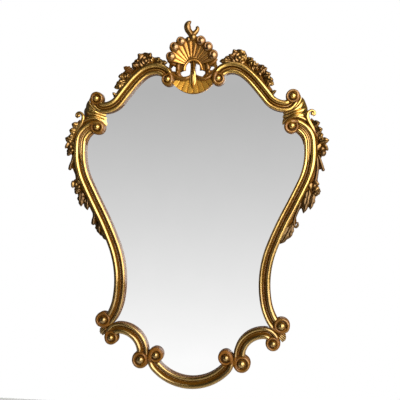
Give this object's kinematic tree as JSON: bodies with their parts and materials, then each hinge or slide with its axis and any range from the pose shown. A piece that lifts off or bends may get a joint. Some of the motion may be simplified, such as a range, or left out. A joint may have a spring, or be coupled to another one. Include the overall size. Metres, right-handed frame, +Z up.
{
  "type": "rococo wall mirror",
  "caption": "Cartouche-shaped wall mirror in a carved gilt frame of C- and S-scrolls, with a pierced shell crest, rose sprays and side garlands.",
  "frame": {"origin": "on the wall plane, on the frame's centre line, level with the pivots of the two hanger rings", "axes": "+X to the right as seen from the front, +Z up, the front faces -Y and the wall is the plane y = 0"},
  "size_m": [0.6412, 0.054, 0.8922],
  "materials": {
    "gilt_wood": "antique gold leaf over gesso, dark patina in the hollows",
    "silvered_glass": "polished silvered glass",
    "board": "raw hardboard",
    "plain_wood": "raw beech",
    "brass": "satin",
    "steel": "zinc plated",
    "rubber": "matt"
  },
  "bodies": {
    "frame": {"acanthus_left": "gilt_wood", "acanthus_right": "gilt_wood", "apron_rail": "gilt_wood", "backing_board": "board", "button_screws": "steel", "c_scroll_left": "gilt_wood", "c_scroll_right": "gilt_wood", "central_drop": "gilt_wood", "crest_panel": "gilt_wood", "finial": "gilt_wood", "finial_pin": "steel", "frame_dowels": "plain_wood", "garland_leaves_left": "gilt_wood", "garland_leaves_right": "gilt_wood", "garland_pods_left": "gilt_wood", "garland_pods_right": "gilt_wood", "garland_stem_left": "gilt_wood", "garland_stem_right": "gilt_wood", "hanger_screws": "steel", "hanger_strap_left": "brass", "hanger_strap_right": "brass", "knee_leaf_left": "gilt_wood", "knee_leaf_right": "gilt_wood", "lower_flower_left": "gilt_wood", "lower_flower_right": "gilt_wood", "lower_scroll_left": "gilt_wood", "lower_scroll_right": "gilt_wood", "mirror_glass": "silvered_glass", "rose_left": "gilt_wood", "rose_right": "gilt_wood", "shell": "gilt_wood", "shell_arch": "gilt_wood", "shell_skirt": "gilt_wood", "shoulder_collar_left": "gilt_wood", "shoulder_collar_right": "gilt_wood", "side_rail_left": "gilt_wood", "side_rail_right": "gilt_wood", "small_flower_left": "gilt_wood", "small_flower_right": "gilt_wood", "spray_leaves_left": "gilt_wood", "spray_leaves_right": "gilt_wood", "spray_stem_left": "gilt_wood", "spray_stem_right": "gilt_wood", "top_rail_left": "gilt_wood", "top_rail_right": "gilt_wood", "upper_flower_left": "gilt_wood", "upper_flower_right": "gilt_wood", "wall_bumpers": "rubber"},
    "ring_right": {"hanger_ring_right": "brass"},
    "top_button_right": {"top_turn_button_right": "brass"},
    "middle_button_right": {"middle_turn_button_right": "brass"},
    "lower_button_right": {"lower_turn_button_right": "brass"},
    "ring_left": {"hanger_ring_left": "brass"},
    "top_button_left": {"top_turn_button_left": "brass"},
    "middle_button_left": {"middle_turn_button_left": "brass"},
    "lower_button_left": {"lower_turn_button_left": "brass"}
  },
  "joints": [
    {"name": "ring_swing_right", "type": "hinge", "parent": "frame", "child": "ring_right", "pos_m": [0.28273, -0.00502, 0], "axis": [1, 0, 0], "range_deg": [0, 180]},
    {"name": "top_button_turn_right", "type": "hinge", "parent": "frame", "child": "top_button_right", "pos_m": [0.16334, -0.0071, 0.15378], "axis": [0, 1, 0], "range_deg": [-90, 90]},
    {"name": "middle_button_turn_right", "type": "hinge", "parent": "frame", "child": "middle_button_right", "pos_m": [0.24368, -0.0071, -0.12019], "axis": [0, 1, 0], "range_deg": [-90, 90]},
    {"name": "lower_button_turn_right", "type": "hinge", "parent": "frame", "child": "lower_button_right", "pos_m": [0.17849, -0.0071, -0.29639], "axis": [0, 1, 0], "range_deg": [-90, 90]},
    {"name": "ring_swing_left", "type": "hinge", "parent": "frame", "child": "ring_left", "pos_m": [-0.28273, -0.00502, 0], "axis": [1, 0, 0], "range_deg": [0, 180]},
    {"name": "top_button_turn_left", "type": "hinge", "parent": "frame", "child": "top_button_left", "pos_m": [-0.16334, -0.0071, 0.15378], "axis": [0, 1, 0], "range_deg": [-90, 90]},
    {"name": "middle_button_turn_left", "type": "hinge", "parent": "frame", "child": "middle_button_left", "pos_m": [-0.24368, -0.0071, -0.12019], "axis": [0, 1, 0], "range_deg": [-90, 90]},
    {"name": "lower_button_turn_left", "type": "hinge", "parent": "frame", "child": "lower_button_left", "pos_m": [-0.17849, -0.0071, -0.29639], "axis": [0, 1, 0], "range_deg": [-90, 90]}
  ]
}
